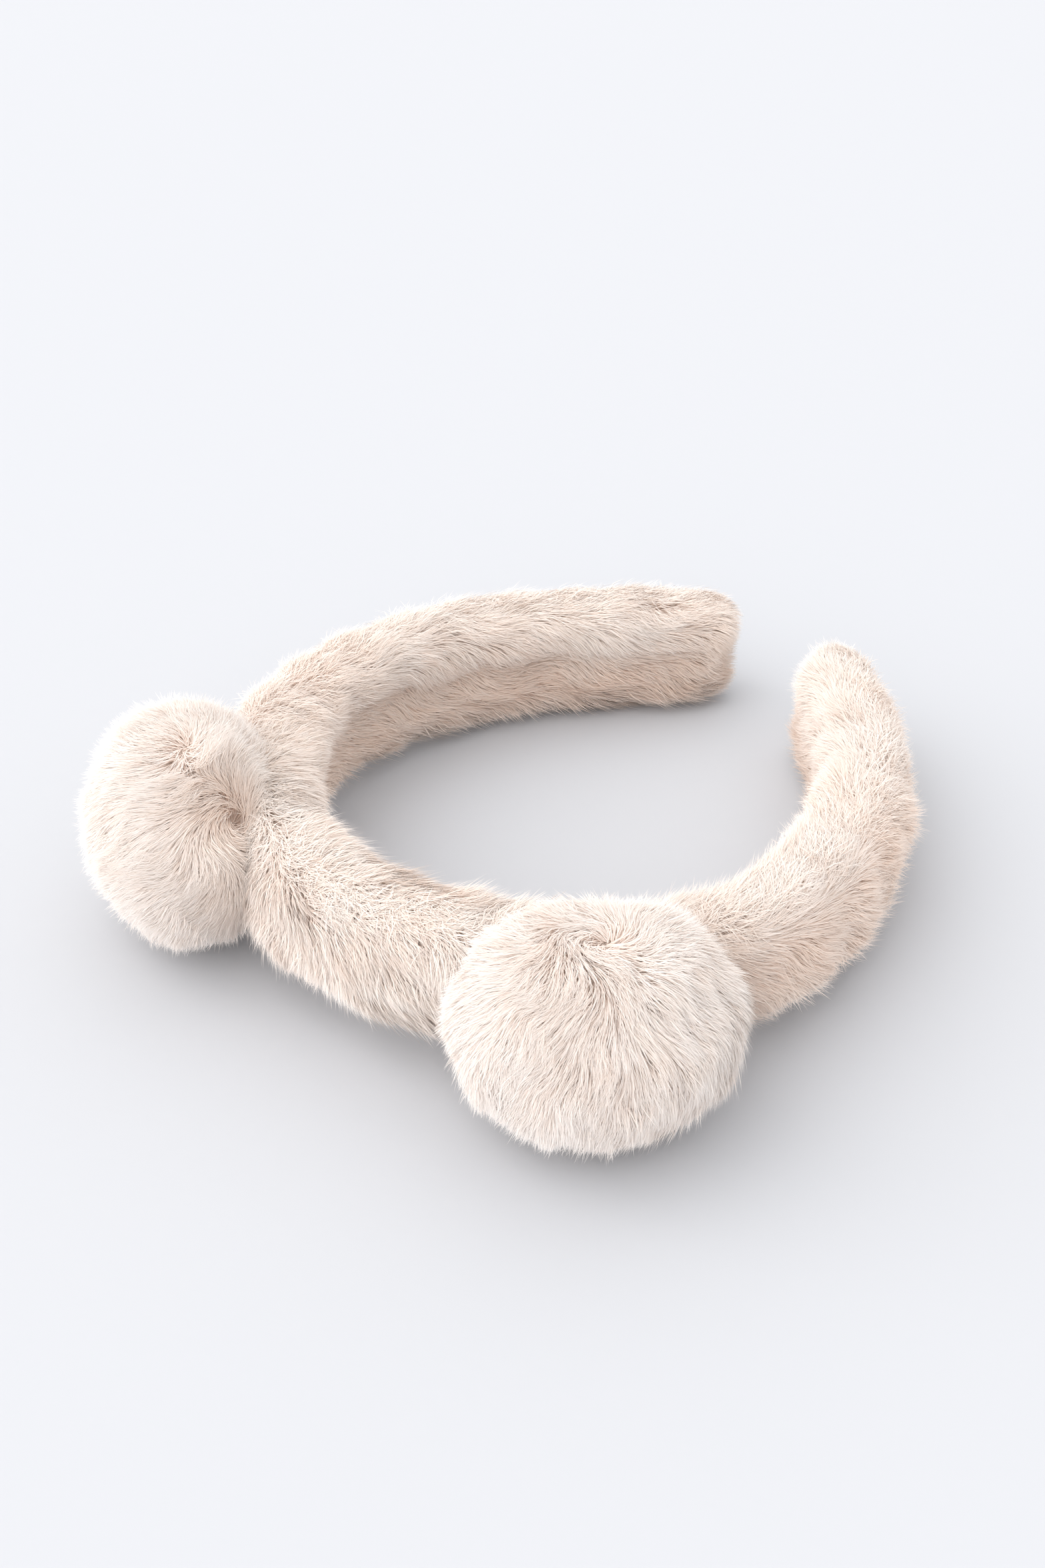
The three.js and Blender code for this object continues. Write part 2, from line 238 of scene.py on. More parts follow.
# An ear's parting turns the strands away, the less the farther they are, but no more than at
# PULL_REACH. Round it they whirl, and at its middle they turn every way.
PULL_REACH = 0.15
PULL_POWER = 1.2
WHIRL = 1.6
WHIRL_REACH = 0.4
STRAY = 2.5
STRAY_REACH = 0.16

# The strands are shorter along the inner seam
SEAM_REACH = 0.5
SEAM_SHORT = 0.35

# Towards the tips they are shorter, and at the very ends they also lean less and go on outward
TIP_THINNING = 22 * MM
TIP_RISE = math.radians(42)
TIP_SHORT = 0.3
PAST_TIP_SHARE = 0.4

# How pale the strands are, from 0 for the warm tint to 1 for the pale one. The band has painted
# shade: it is warmer and darker on the lower half of its inner face, near the table, and on the
# outer face of its right arm, turned away from the light. It is paler where its fur parts.
BAND_PALENESS = 0.68
INNER_PAINTED_SHADE = 0.55
INNER_PLACE = 0.35
INNER_REACH = 0.6
OUTER_PAINTED_SHADE = 0.5
OUTER_PLACE = -0.3
OUTER_REACH = 0.9
OUTER_START = 0.6
PARTING_PALENESS = 0.15
EAR_PALENESS = 0.74
# How far the painted shade round the ears' partings reaches
EAR_PAINTED_SHADE_REACH = 0.4

# How much the tint varies by lock, by tuft, by strand and in broad waves over the headband
LOCK_TINT = 0.1
TUFT_TINT = 0.12
STRAND_TINT = 0.16
WAVE_TINT = 0.1

# The tints are kept in this many columns of the UV map
TINT_COLUMNS = 200

# How late along the strands the tufts and the locks gather
TUFT_POWER = 1.3
LOCK_POWER = 1.8

# How far a ribbon is turned about its strand at random
STRAND_ROLL = 0.4

BAND_SEED = 100
EAR_SEED = 200


def from_table(rows, place, column):
    """Values between the rows of a table, smoothed so that they have no corners"""
    keys = np.array([row["along"] for row in rows])
    values = np.array([row[column] for row in rows])
    after = np.clip(np.searchsorted(keys, place), 1, len(keys) - 1)
    share = np.clip((place - keys[after - 1]) / (keys[after] - keys[after - 1]), 0, 1)
    share = share * share * (3 - 2 * share)
    return values[after - 1] + (values[after] - values[after - 1]) * share


def unit(vectors):
    lengths = np.linalg.norm(vectors, axis=-1, keepdims=True)
    return vectors / np.maximum(lengths, 1e-12)


def dot(first, second):
    return np.sum(first * second, axis=-1, keepdims=True)


def fade(distance, reach):
    """1 at no distance, and falling smoothly towards 0 past the reach"""
    return np.exp(-(distance / reach) ** 2)


def waves(points, size, seed):
    """A smooth field from about -1 to 1 that varies over a given size"""
    rng = np.random.default_rng(seed)
    total = np.zeros(len(points))
    for _ in range(7):
        heading = unit(rng.normal(size=3)) * 2 * np.pi / (size * rng.uniform(0.8, 1.9))
        total += np.cos(points @ heading + rng.uniform(0, 2 * np.pi))
    return total / 2.6


def half_line(straight):
    """The middle line from the crown's middle to the right tip, as closely spaced points"""
    crown = np.linspace(1.5 * np.pi, 2 * np.pi, 400)
    bend = np.linspace(0, ARM_TURN, 300)[1:]
    line = np.concatenate([
        np.stack([ARCH_HALF_WIDTH * np.cos(crown), CROWN_DEPTH * np.sin(crown)], 1),
        np.stack([ARCH_HALF_WIDTH - ARM_BEND * (1 - np.cos(bend)), ARM_BEND * np.sin(bend)], 1),
    ])
    heading = np.array([-math.sin(ARM_TURN), math.cos(ARM_TURN)])
    steps = np.linspace(0, straight, 120)[1:]
    return np.concatenate([line, line[-1] + steps[:, None] * heading])


LEFT_LINE = half_line(LEFT_STRAIGHT)[:0:-1] * (-1, 1)
LINE = np.concatenate([LEFT_LINE, half_line(RIGHT_STRAIGHT)])
LINE_RUN = np.concatenate([[0], np.cumsum(np.linalg.norm(np.diff(LINE, axis=0), axis=1))])
CROWN_RUN = LINE_RUN[len(LEFT_LINE)]
ARCH_LENGTH = LINE_RUN[-1]
LINE_HEADING = unit(np.gradient(LINE, axis=0))


def arch_frame(run):
    """The band's middle, its direction and its outward side at distances from the left tip"""
    zero = np.zeros_like(run)
    middle = np.stack([np.interp(run, LINE_RUN, LINE[:, axis]) for axis in (0, 1)] + [zero], -1)
    along = np.stack([np.interp(run, LINE_RUN, LINE_HEADING[:, axis]) for axis in (0, 1)] + [zero], -1)
    along = unit(along)
    outward = np.stack([along[..., 1], -along[..., 0], zero], -1)
    return middle, along, outward


def band_point(run, turn, depth=0.0):
    """A point on the band's fur, or a depth under it. Turn 0 faces outward, and a quarter turn up."""
    middle, _, outward = arch_frame(run)
    share = run / ARCH_LENGTH
    from_tip = np.minimum(run, ARCH_LENGTH - run)
    missing = np.clip(1 - (from_tip - depth) / TIP_ROUND, 0, 1)
    taper = np.sqrt(1 - missing * missing)
    thick = from_table(BAND_SECTIONS, share, "thick") * BAND_THICKNESS / 2
    wide = from_table(BAND_SECTIONS, share, "wide") * BAND_WIDTH / 2
    power = 2 / SECTION_POWER
    cosine = np.cos(turn)
    sine = np.sin(turn)
    out = np.sign(cosine) * np.abs(cosine) ** power * np.maximum(thick - depth, 0) * taper
    blunt = TIP_BLUNTNESS + (1 - TIP_BLUNTNESS) * taper
    up = np.sign(sine) * np.abs(sine) ** power * np.maximum(wide - depth, 0) * blunt
    inner = np.clip(-cosine * 4, 0, 1) * np.clip(from_tip / SEAM_FADE, 0, 1) ** 2
    out = out + inner * SEAM_DEPTH * fade(up, SEAM_WIDTH)
    swell = SWELL_HEIGHT * fade(share - SWELL_PLACE, SWELL_REACH)
    out = out - swell * np.clip(-cosine, 0, 1)
    result = middle + outward * out[..., None]
    result[..., 2] += up
    return result


def band_frame(run, turn):
    """The surface's normal and its two sides: along the band, and round it with the turn"""
    step = 0.4 * MM
    nudge = 0.03
    before = band_point(np.maximum(run - step, 0), turn)
    after = band_point(np.minimum(run + step, ARCH_LENGTH), turn)
    ahead = (after - before) / (2 * step)
    round_ = (band_point(run, turn + nudge) - band_point(run, turn - nudge)) / (2 * nudge)
    normal = unit(np.cross(ahead, round_))
    return normal, ahead, round_


def tipped(vectors):
    """Turned about X as the headband lies"""
    x, y, z = vectors[..., 0], vectors[..., 1], vectors[..., 2]
    cosine = math.cos(REST_TILT)
    sine = math.sin(REST_TILT)
    return np.stack([x, y * cosine + z * sine, z * cosine - y * sine], -1)


def lay(points):
    """From the hoop's own frame to the way it lies"""
    return tipped(points) + (0, 0, REST_LIFT) + SHIFT


# Where the ears sit and how the headband lies, worked out as in the part
EAR_RUN = {
    "ear_left": CROWN_RUN + EAR_SHIFT - EAR_SPREAD,
    "ear_right": CROWN_RUN + EAR_SHIFT + EAR_SPREAD,
}
EAR_FOOT = BAND_THICKNESS / 2 - FUR_RISE - EAR_SINK
EAR_LENGTH = EAR_SINK + FUR_RISE + EAR_STAND
EAR_WAIST = EAR_WAIST_SHARE * EAR_LENGTH


def ear_frame(name):
    """The ear's middle, and its axes as rows: out from the band, along it and up"""
    middle, along, outward = arch_frame(np.array(EAR_RUN[name]))
    upward = np.array([0.0, 0.0, 1.0])
    middle = middle + outward * (EAR_FOOT + EAR_WAIST) + upward * EAR_RAISE
    return middle, np.stack([outward, along, upward])


CROWN_LIFT = EAR_THICKNESS / 2 - EAR_PRESS - EAR_RAISE
TIP_LIFT = BAND_WIDTH / 2 - TIP_PRESS
EAR_MIDDLE = ear_frame("ear_right")[0]
REST_TILT = math.atan2(CROWN_LIFT - TIP_LIFT, ARM_BEND * math.sin(ARM_TURN) - EAR_MIDDLE[1])
REST_LIFT = CROWN_LIFT + EAR_MIDDLE[1] * math.sin(REST_TILT)

# The part's origin is under its middle, and its resting face is under the right ear's middle
SHIFT = np.zeros(3)
rest_mount = next(mount for mount in frame["record"]["mounts"] if mount["name"] == "rest")
rest_place = np.array(rest_mount["pos_m"][:2])
SHIFT[:2] = rest_place - lay(EAR_MIDDLE)[:2]


def turned(flow, normal, angle):
    """Turns directions about the surface's normal"""
    side = np.cross(normal, flow)
    return flow * np.cos(angle)[:, None] + side * np.sin(angle)[:, None]


def press(points):
    """Lays flat on the floor what would reach into it"""
    soft = 1.4 * MM
    floor = 0.15 * MM
    z = points[..., 2]
    pressed = floor + (soft - floor) * np.exp((z - soft) / (soft - floor))
    points[..., 2] = np.where(z < soft, pressed, z)
    return points


def nearest(centres, points):
    """For each point, the number of the nearest centre"""
    tree = kdtree.KDTree(len(centres))
    for number, centre in enumerate(centres):
        tree.insert(centre, number)
    tree.balance()
    return np.array([tree.find(point)[1] for point in points])


def gather(paths, area, size, strength, power, rng):
    """Draws the strands towards those at the middles of locks of a given size"""
    count = min(len(paths) // 2, max(20, int(area / size ** 2)))
    centres = rng.choice(len(paths), count, replace=False)
    owner = nearest(paths[centres, 1], paths[:, 1])
    share = np.linspace(0, 1, paths.shape[1]) ** power
    pull = strength * share[None, :, None]
    return paths + (paths[centres[owner]] - paths) * pull, owner


def strand_mesh(name, paths, normals, tints, widths, rng):
    """Joins the strands into one mesh of tapered ribbons, with a UV map of tint and height"""
    count, rows, _ = paths.shape
    heading = unit(np.gradient(paths, axis=1))
    side = unit(np.cross(heading, normals))
    face = np.cross(side, heading)
    roll = rng.uniform(-STRAND_ROLL, STRAND_ROLL, count)[:, None, None]
    across = side * np.cos(roll) + face * np.sin(roll)
    half = np.array(STRAND_WIDTHS)[None, :, None] / 2 * widths[:, None, None]
    left = paths[:, :-1] - across[:, :-1] * half
    right = paths[:, :-1] + across[:, :-1] * half
    pairs = np.stack([left, right], 2).reshape(count, -1, 3)
    points = np.concatenate([pairs, paths[:, -1:]], 1)
    per = points.shape[1]
    facets = []
    for row in range(rows - 2):
        base = 2 * row
        facets += [(base, base + 1, base + 3), (base, base + 3, base + 2)]
    facets.append((per - 3, per - 2, per - 1))
    facets = np.array(facets)
    corners = (np.arange(count)[:, None, None] * per + facets[None]).reshape(-1)
    heights = np.linspace(0, 1, rows)
    height = np.concatenate([np.repeat(heights[:-1], 2), heights[-1:]])
    edge = np.concatenate([np.tile([0.25, 0.75], rows - 1), [0.5]])
    column = np.floor(np.clip(tints, 0, 0.9999) * TINT_COLUMNS)
    u = (column[:, None] + edge[None]) / TINT_COLUMNS
    uv = np.stack([u, np.broadcast_to(0.01 + 0.98 * height, u.shape)], -1).reshape(-1, 2)

    mesh = bpy.data.meshes.new(name)
    total = len(corners)
    mesh.vertices.add(count * per)
    mesh.vertices.foreach_set("co", points.astype(np.float32).ravel())
    mesh.loops.add(total)
    mesh.loops.foreach_set("vertex_index", corners.astype(np.int32))
    mesh.polygons.add(total // 3)
    mesh.polygons.foreach_set("loop_start", np.arange(0, total, 3, dtype=np.int32))
    mesh.update(calc_edges=True)
    layer = mesh.uv_layers.new(name="OFBake")
    layer.data.foreach_set("uv", uv[corners].astype(np.float32).ravel())
    return mesh


def skin_mesh(name, rings, start, end):
    """A closed skin over rings of points, with a point to close each end"""
    count, sides, _ = rings.shape
    points = np.concatenate([start[None], rings.reshape(-1, 3), end[None]])
    faces = []
    last = len(points) - 1
    for side in range(sides):
        step = (side + 1) % sides
        faces.append((0, 1 + step, 1 + side))
        top = 1 + (count - 1) * sides
        faces.append((last, top + side, top + step))
        for ring in range(count - 1):
            base = 1 + ring * sides
            faces.append((base + side, base + step, base + sides + step, base + sides + side))
    mesh = bpy.data.meshes.new(name)
    mesh.from_pydata([tuple(point) for point in points], [], faces)
    mesh.update()
    for polygon in mesh.polygons:
        polygon.use_smooth = True
    return mesh


def placed(name, mesh, material):
    piece = bpy.data.objects.new(name, mesh)
    bpy.context.scene.collection.objects.link(piece)
    mesh.materials.append(material)
    return piece


def linear(red, green, blue):
    """A colour given as the eye reads it, from 0 to 255"""
    shades = np.array([red, green, blue]) / 255
    low = shades / 12.92
    high = ((shades + 0.055) / 1.055) ** 2.4
    return (*np.where(shades <= 0.04045, low, high), 1.0)


def node_material(name, roughness, sheen):
    material = bpy.data.materials.new(name)
    material.use_nodes = True
    nodes = material.node_tree.nodes
    shader = nodes["Principled BSDF"]
    shader.inputs["Roughness"].default_value = roughness
    shader.inputs["Specular IOR Level"].default_value = 0.2
    shader.inputs["Sheen Weight"].default_value = sheen
    shader.inputs["Sheen Roughness"].default_value = 0.5
    shader.inputs["Sheen Tint"].default_value = linear(255, 246, 238)
    return material, nodes, material.node_tree.links, shader


def ramp_of(nodes, stops):
    """A colour ramp through rows of place and colour"""
    ramp = nodes.new("ShaderNodeValToRGB")
    elements = ramp.color_ramp.elements
    for number, (place, colour) in enumerate(stops):
        element = elements[number] if number < 2 else elements.new(place)
        element.position = place
        element.color = linear(*colour)
    return ramp


def fur_material(name, warm, pale):
    """Fur whose colour runs from root to tip, between a warm and a pale tint of strand"""
    material, nodes, links, shader = node_material(name, 0.85, 0.15)
    uv = nodes.new("ShaderNodeUVMap")
    uv.uv_map = "OFBake"
    parts = nodes.new("ShaderNodeSeparateXYZ")
    links.new(uv.outputs["UV"], parts.inputs["Vector"])
    mix = nodes.new("ShaderNodeMix")
    mix.data_type = "RGBA"
    for socket, stops in (("A", warm), ("B", pale)):
        ramp = ramp_of(nodes, stops)
        links.new(parts.outputs["Y"], ramp.inputs["Fac"])
        colour_inputs = [item for item in mix.inputs if item.name == socket and item.type == "RGBA"]
        links.new(ramp.outputs["Color"], colour_inputs[0])
    links.new(parts.outputs["X"], mix.inputs["Factor"])
    colour_outputs = [item for item in mix.outputs if item.type == "RGBA"]
    links.new(colour_outputs[0], shader.inputs["Base Color"])
    return material


def backing_material():
    """The close under-fur that shows between the strands"""
    material, nodes, links, shader = node_material("fur_backing", 0.95, 0.1)
    noise = nodes.new("ShaderNodeTexNoise")
    noise.inputs["Scale"].default_value = 900
    noise.inputs["Detail"].default_value = 4
    ramp = ramp_of(nodes, [(0.3, (243, 223, 209)), (0.7, (249, 234, 223))])
    links.new(noise.outputs["Fac"], ramp.inputs["Fac"])
    links.new(ramp.outputs["Color"], shader.inputs["Base Color"])
    bump = nodes.new("ShaderNodeBump")
    bump.inputs["Strength"].default_value = 0.6
    bump.inputs["Distance"].default_value = 0.5 * MM
    links.new(noise.outputs["Fac"], bump.inputs["Height"])
    links.new(bump.outputs["Normal"], shader.inputs["Normal"])
    return material


def in_ear(points, name, size):
    """True where a point is inside an ear of a size, as a share of the whole ear"""
    middle, axes = ear_frame(name)
    local = (points - middle) @ axes.T
    half = ear_half(local)
    return np.sum((local / half) ** 2, axis=1) < size ** 2


def in_band(points, margin):
    """True where a point is inside the band and farther than a margin from its surface"""
    line = np.column_stack([LINE, np.zeros(len(LINE))])
    middle, _, outward = arch_frame(LINE_RUN[nearest(line, points * (1, 1, 0))])
    out = np.abs(dot(points - middle, outward)[:, 0])
    return (out < BAND_THICKNESS / 2 - margin) & (np.abs(points[:, 2]) < BAND_WIDTH / 2 - margin)


def ear_half(rays):
    """The ear's half sizes on the side that each ray points to"""
    half = np.empty_like(rays)
    half[:, 0] = np.where(rays[:, 0] > 0, EAR_LENGTH - EAR_WAIST, EAR_WAIST * EAR_BACK)
    half[:, 1] = EAR_BREADTH / 2
    half[:, 2] = EAR_THICKNESS / 2
    return half


def step_leans(pile):
    """How far a strand leans from the surface's normal at each of its steps"""
    return np.radians(np.linspace(pile["root_lean"], pile["tip_lean"], STEPS))


def strand_variety(pile, points, rng):
    """How the strands at some points differ: their lengths, extra leans and turns to the side"""
    count = len(points)
    seed = pile["wave_seed"]
    wave = pile["length_wave"] * waves(points, LENGTH_SIZE, seed)
    length = pile["length"] * (1 + wave + rng.uniform(-LENGTH_SPREAD, LENGTH_SPREAD, count))
    wave = pile["lean_wave"] * waves(points, LEAN_SIZE, seed + 2)
    lean_shift = np.radians(wave + rng.uniform(-LEAN_SPREAD, LEAN_SPREAD, count))
    standing = rng.uniform(0, 1, count) < STANDING_SHARE
    lean_shift -= np.where(standing, np.radians(STANDING_TURN), 0)
    wave = pile["swing_wave"] * waves(points, pile["swing_size"], seed + 3)
    ripple = pile["swing_ripple"] * waves(points, RIPPLE_SIZE, seed + 4)
    swing = np.radians(wave + ripple + rng.normal(0, SWING_SPREAD, count))
    return length, lean_shift, swing


def band_roots(start, end, count, rng):
    """Roots spread evenly over a stretch of the band and clear of the ears: distances and turns"""
    runs = np.linspace(start * ARCH_LENGTH, end * ARCH_LENGTH, 400)
    runs = np.clip(runs, ROOT_END, ARCH_LENGTH - ROOT_END)
    turns = np.linspace(-np.pi, np.pi, 181)
    grid_run, grid_turn = np.meshgrid(runs, turns, indexing="ij")
    points = band_point(grid_run.ravel(), grid_turn.ravel()).reshape(len(runs), len(turns), 3)
    first = points[1:, :-1] - points[:-1, :-1]
    second = points[:-1, 1:] - points[:-1, :-1]
    areas = np.linalg.norm(np.cross(first, second), axis=-1).ravel()
    tries = int(count * BAND_TRIES)
    marks = (np.arange(tries) + rng.uniform(0, 1, tries)) / tries * areas.sum()
    cells = np.minimum(np.searchsorted(np.cumsum(areas), marks), len(areas) - 1)
    row, column = np.divmod(cells, len(turns) - 1)
    run = runs[row] + rng.uniform(0, 1, tries) * (runs[row + 1] - runs[row])
    turn = turns[column] + rng.uniform(0, 1, tries) * (turns[1] - turns[0])
    roots = band_point(run, turn, ROOT_DEPTH)
    clear = ~(in_ear(roots, "ear_left", EAR_CORE) | in_ear(roots, "ear_right", EAR_CORE))
    area = areas.sum() * clear.mean()
    kept = rng.permutation(np.flatnonzero(clear))[:count]
    return run[kept], turn[kept], area


def band_fur(stretch, seed, material):
    """The pile of one stretch of the band"""
    rng = np.random.default_rng(seed)
    run, turn, area = band_roots(stretch["start"], stretch["end"], STRANDS, rng)
    count = len(run)
    length, lean_shift, swing = strand_variety(BAND_PILE, band_point(run, turn), rng)
    inward = np.mod(turn, 2 * np.pi) - np.pi
    # Painted shade: the lower half of the inner face, near the table, gets more of the warm tint
    inner_shade = fade(inward - INNER_PLACE, INNER_REACH)
    length *= 1 - SEAM_SHORT * fade(inward, SEAM_REACH)
    from_tip = np.minimum(run, ARCH_LENGTH - run)
    length *= 0.85 + 0.15 * np.clip(from_tip / TIP_THINNING, 0, 1)
    at_tip = np.clip(1 - from_tip / TIP_ROUND, 0, 1)
    length *= 1 - TIP_SHORT * at_tip
    parting = np.radians(from_table(BAND_NAP, run / ARCH_LENGTH, "parting"))
    near = fade(turn - parting, PARTING_REACH)
    length *= 1 - PARTING_SHORT * near
    lean_shift += PARTING_LEAN * near - TIP_RISE * at_tip
    swing += rng.normal(0, PARTING_SWING, count) * np.maximum(near, at_tip ** 2)
    depth = ROOT_DEPTH * (1 - PARTING_FILL * near)
    leans = step_leans(BAND_PILE)
    past_tip = np.zeros(count)
    rows = []
    normals = []
    for step in range(STEPS + 1):
        normal, ahead, round_ = band_frame(run, turn)
        if step % STEPS_PER_PIECE == 0:
            onward = arch_frame(run)[1] * past_tip[:, None]
            rows.append(band_point(run, turn) - normal * depth[:, None] + onward)
            normals.append(normal)
        if step == STEPS:
            break
        share = run / ARCH_LENGTH
        nap = from_table(BAND_NAP, share, "nap")
        fall = from_table(BAND_NAP, share, "fall")
        along = unit(ahead) * nap[:, None]
        parting = np.radians(from_table(BAND_NAP, share, "parting"))
        downward = -fall * (0.1 + 0.9 * np.sin(parting - turn))
        around = unit(round_) * downward[:, None]
        flow = unit(turned(unit(along + around), normal, swing))
        lean = np.clip(leans[step] + lean_shift, BAND_PILE["least_lean"], MOST_LEAN)
        reach = length / STEPS
        sideways = reach * np.sin(lean)
        depth = depth - reach * np.cos(lean)
        ahead_size = np.linalg.norm(ahead, axis=1)
        round_size = np.linalg.norm(round_, axis=1)
        run = run + sideways * dot(flow, unit(ahead))[:, 0] / np.maximum(ahead_size, 0.3)
        turn = turn + sideways * dot(flow, unit(round_))[:, 0] / np.maximum(round_size, 3 * MM)
        inside = np.clip(run, STRAND_END, ARCH_LENGTH - STRAND_END)
        past_tip = past_tip + (run - inside) * PAST_TIP_SHARE
        run = inside
    # Painted shade: the outer face of the right arm, turned away from the light, gets more of the warm
    # tint
    on_right_arm = np.clip((run / ARCH_LENGTH - OUTER_START) * 8, 0, 1)
    outer_shade = fade(turn - OUTER_PLACE, OUTER_REACH) * on_right_arm
    paleness = BAND_PALENESS - INNER_PAINTED_SHADE * inner_shade + PARTING_PALENESS * near
    paleness -= OUTER_PAINTED_SHADE * outer_shade
    return finish_fur(stretch["name"], rows, normals, area, BAND_PILE, paleness, rng, material)


def ear_fur(name, seed, material):
    """The pile of one ear"""
    rng = np.random.default_rng(seed)
    middle, axes = ear_frame(name)
    tries = int(STRANDS * EAR_TRIES)
    number = np.arange(tries) + rng.uniform(0, 1, tries)
    height = 1 - 2 * number / tries
    angle = np.pi * (3 - math.sqrt(5)) * np.arange(tries) + rng.uniform(-0.05, 0.05, tries)
    flat = np.sqrt(np.maximum(0, 1 - height ** 2))
    rays = np.stack([flat * np.cos(angle), flat * np.sin(angle), height], 1)
    half = ear_half(rays)
    shown = rays[:, 0] * half[:, 0] > -EAR_WAIST * EAR_CLOSING
    buried = in_band(middle + (rays * half) @ axes, EAR_BURIAL)
    kept = rng.permutation(np.flatnonzero(shown & ~buried))[:STRANDS]
    rays = rays[kept]
    half = half[kept]
    count = len(rays)
    area = 4 * np.pi * EAR_RADIUS ** 2 * (shown & ~buried).mean()
    sources = []
    paleness = np.full(count, EAR_PALENESS)
    near = np.zeros(count)
    meeting = np.zeros(count)
    for row in EAR_PARTINGS[name]:
        source = unit(np.array([row["out"], row["along"], row["up"]]))
        sources.append((source, row["pull"]))
        distance = np.linalg.norm(rays - source, axis=1)
        # Painted shade: round each parting the fur gets more of the warm tint, most where an ear meets
        # the band
        paleness -= row["painted_shade"] * fade(distance, EAR_PAINTED_SHADE_REACH)
        near = np.maximum(near, row["fill"] * fade(distance, EAR_PARTING_REACH))
        opposite = np.linalg.norm(rays + source, axis=1)
        meeting = np.maximum(meeting, row["pull"] * fade(opposite, MEETING_REACH))
    stray = rng.normal(size=(count, 3))
    length, lean_shift, swing = strand_variety(EAR_PILE, rays * half, rng)
    length *= 1 - PARTING_SHORT * near - MEETING_SHORT * meeting
    lean_shift += PARTING_LEAN * np.maximum(near, meeting)
    swing += rng.normal(0, MEETING_SWING, count) * meeting
    place = rays * (half - ROOT_DEPTH * (1 - PARTING_FILL * near)[:, None])
    leans = step_leans(EAR_PILE)
    rows = []
    normals = []
    for step in range(STEPS + 1):
        half = ear_half(place)
        rays = unit(place / half)
        normal = unit(rays / half)
        if step % STEPS_PER_PIECE == 0:
            rows.append(middle + place @ axes)
            normals.append(normal @ axes)
        if step == STEPS:
            break
        flow = np.zeros_like(rays)
        for source, pull in sources:
            gap = rays - source
            distance = np.linalg.norm(gap, axis=1, keepdims=True)
            whirl = np.cross(normal, gap) * WHIRL * fade(distance, WHIRL_REACH)
            flow += pull * unit(gap + whirl) / np.maximum(distance, PULL_REACH) ** PULL_POWER
            flow += stray * STRAY * fade(distance, STRAY_REACH)
        flow = unit(flow - normal * dot(flow, normal))
        flow = unit(turned(flow, normal, swing))
        lean = np.clip(leans[step] + lean_shift, EAR_PILE["least_lean"], MOST_LEAN)
        reach = (length / STEPS)[:, None]
        place = place + reach * (normal * np.cos(lean)[:, None] + flow * np.sin(lean)[:, None])
    return finish_fur(name + "_fur", rows, normals, area, EAR_PILE, paleness, rng, material)


def finish_fur(name, rows, normals, area, pile, paleness, rng, material):
    """Gathers the strands in tufts and locks, lays them on the floor and makes their mesh"""
    paths = np.stack(rows, 1)
    normals = np.stack(normals, 1)
    count = len(paths)
    tufted, tuft = gather(paths, area, pile["tuft"], pile["tuft_pull"], TUFT_POWER, rng)
    locked, lock = gather(tufted, area, pile["lock"], pile["lock_pull"], LOCK_POWER, rng)
    shade = rng.uniform(-1, 1, count)
    lock_tint = rng.uniform(-1, 1, lock.max() + 1)[lock]
    tuft_tint = rng.uniform(-1, 1, tuft.max() + 1)[tuft]
    tints = paleness + LOCK_TINT * lock_tint + TUFT_TINT * tuft_tint + STRAND_TINT * shade
    tints += WAVE_TINT * waves(paths[:, 0], 25 * MM, 21)
    widths = rng.uniform(0.75, 1.25, count)
    laid = press(lay(locked))
    mesh = strand_mesh(name, laid, tipped(normals), tints, widths, rng)
    return placed(name, mesh, material)


def band_skin(material):
    """The band's under-fur, with closer rings at its rounded ends"""
    ends = np.array([0.3, 1.2, 2.6, 4.5, 7.0, 10.0]) * MM
    runs = np.concatenate([
        SKIN_DEPTH + ends,
        np.linspace(SKIN_DEPTH + 13 * MM, ARCH_LENGTH - SKIN_DEPTH - 13 * MM, 130),
        ARCH_LENGTH - SKIN_DEPTH - ends[::-1],
    ])
    turns = np.linspace(0, -2 * np.pi, 32, endpoint=False)
    grid_run, grid_turn = np.meshgrid(runs, turns, indexing="ij")
    points = band_point(grid_run.ravel(), grid_turn.ravel(), SKIN_DEPTH)
    rings = press(lay(points)).reshape(len(runs), len(turns), 3)
    mesh = skin_mesh("band_skin", rings, rings[0].mean(0), rings[-1].mean(0))
    return placed("band_skin", mesh, material)


def ear_skin(name, material):
    """An ear's under-fur"""
    middle, axes = ear_frame(name)
    ups = np.linspace(0, np.pi, 34)[1:-1]
    sides = np.linspace(0, -2 * np.pi, 40, endpoint=False)
    grid_up, grid_side = np.meshgrid(ups, sides, indexing="ij")
    flat = np.sin(grid_up).ravel()
    around = grid_side.ravel()
    rays = np.stack([-np.cos(grid_up).ravel(), flat * np.sin(around), flat * np.cos(around)], 1)
    local = rays * (ear_half(rays) - SKIN_DEPTH)
    local[:, 0] = np.maximum(local[:, 0], -EAR_WAIST * EAR_CLOSING)
    rings = press(lay(middle + local @ axes)).reshape(len(ups), len(sides), 3)
    mesh = skin_mesh(name + "_skin", rings, rings[0].mean(0), rings[-1].mean(0))
    return placed(name + "_skin", mesh, material)


def look_at(thing, place, target):
    thing.location = place
    thing.rotation_euler = (Vector(target) - Vector(place)).to_track_quat("-Z", "Y").to_euler()


# The camera, at the photograph's angle
CAMERA_PLACE = (0.2685, -0.3393, 0.3283)
CAMERA_TARGET = (-0.0345, 0.0212, 0.0)
camera_data = bpy.data.cameras.new("camera")
camera_data.lens = 50
camera_data.sensor_fit = "HORIZONTAL"
camera_data.sensor_width = 24
camera_data.clip_start = 0.01
camera_data.clip_end = 20
camera = bpy.data.objects.new("camera", camera_data)
bpy.context.scene.collection.objects.link(camera)
look_at(camera, CAMERA_PLACE, CAMERA_TARGET)
bpy.context.scene.camera = camera

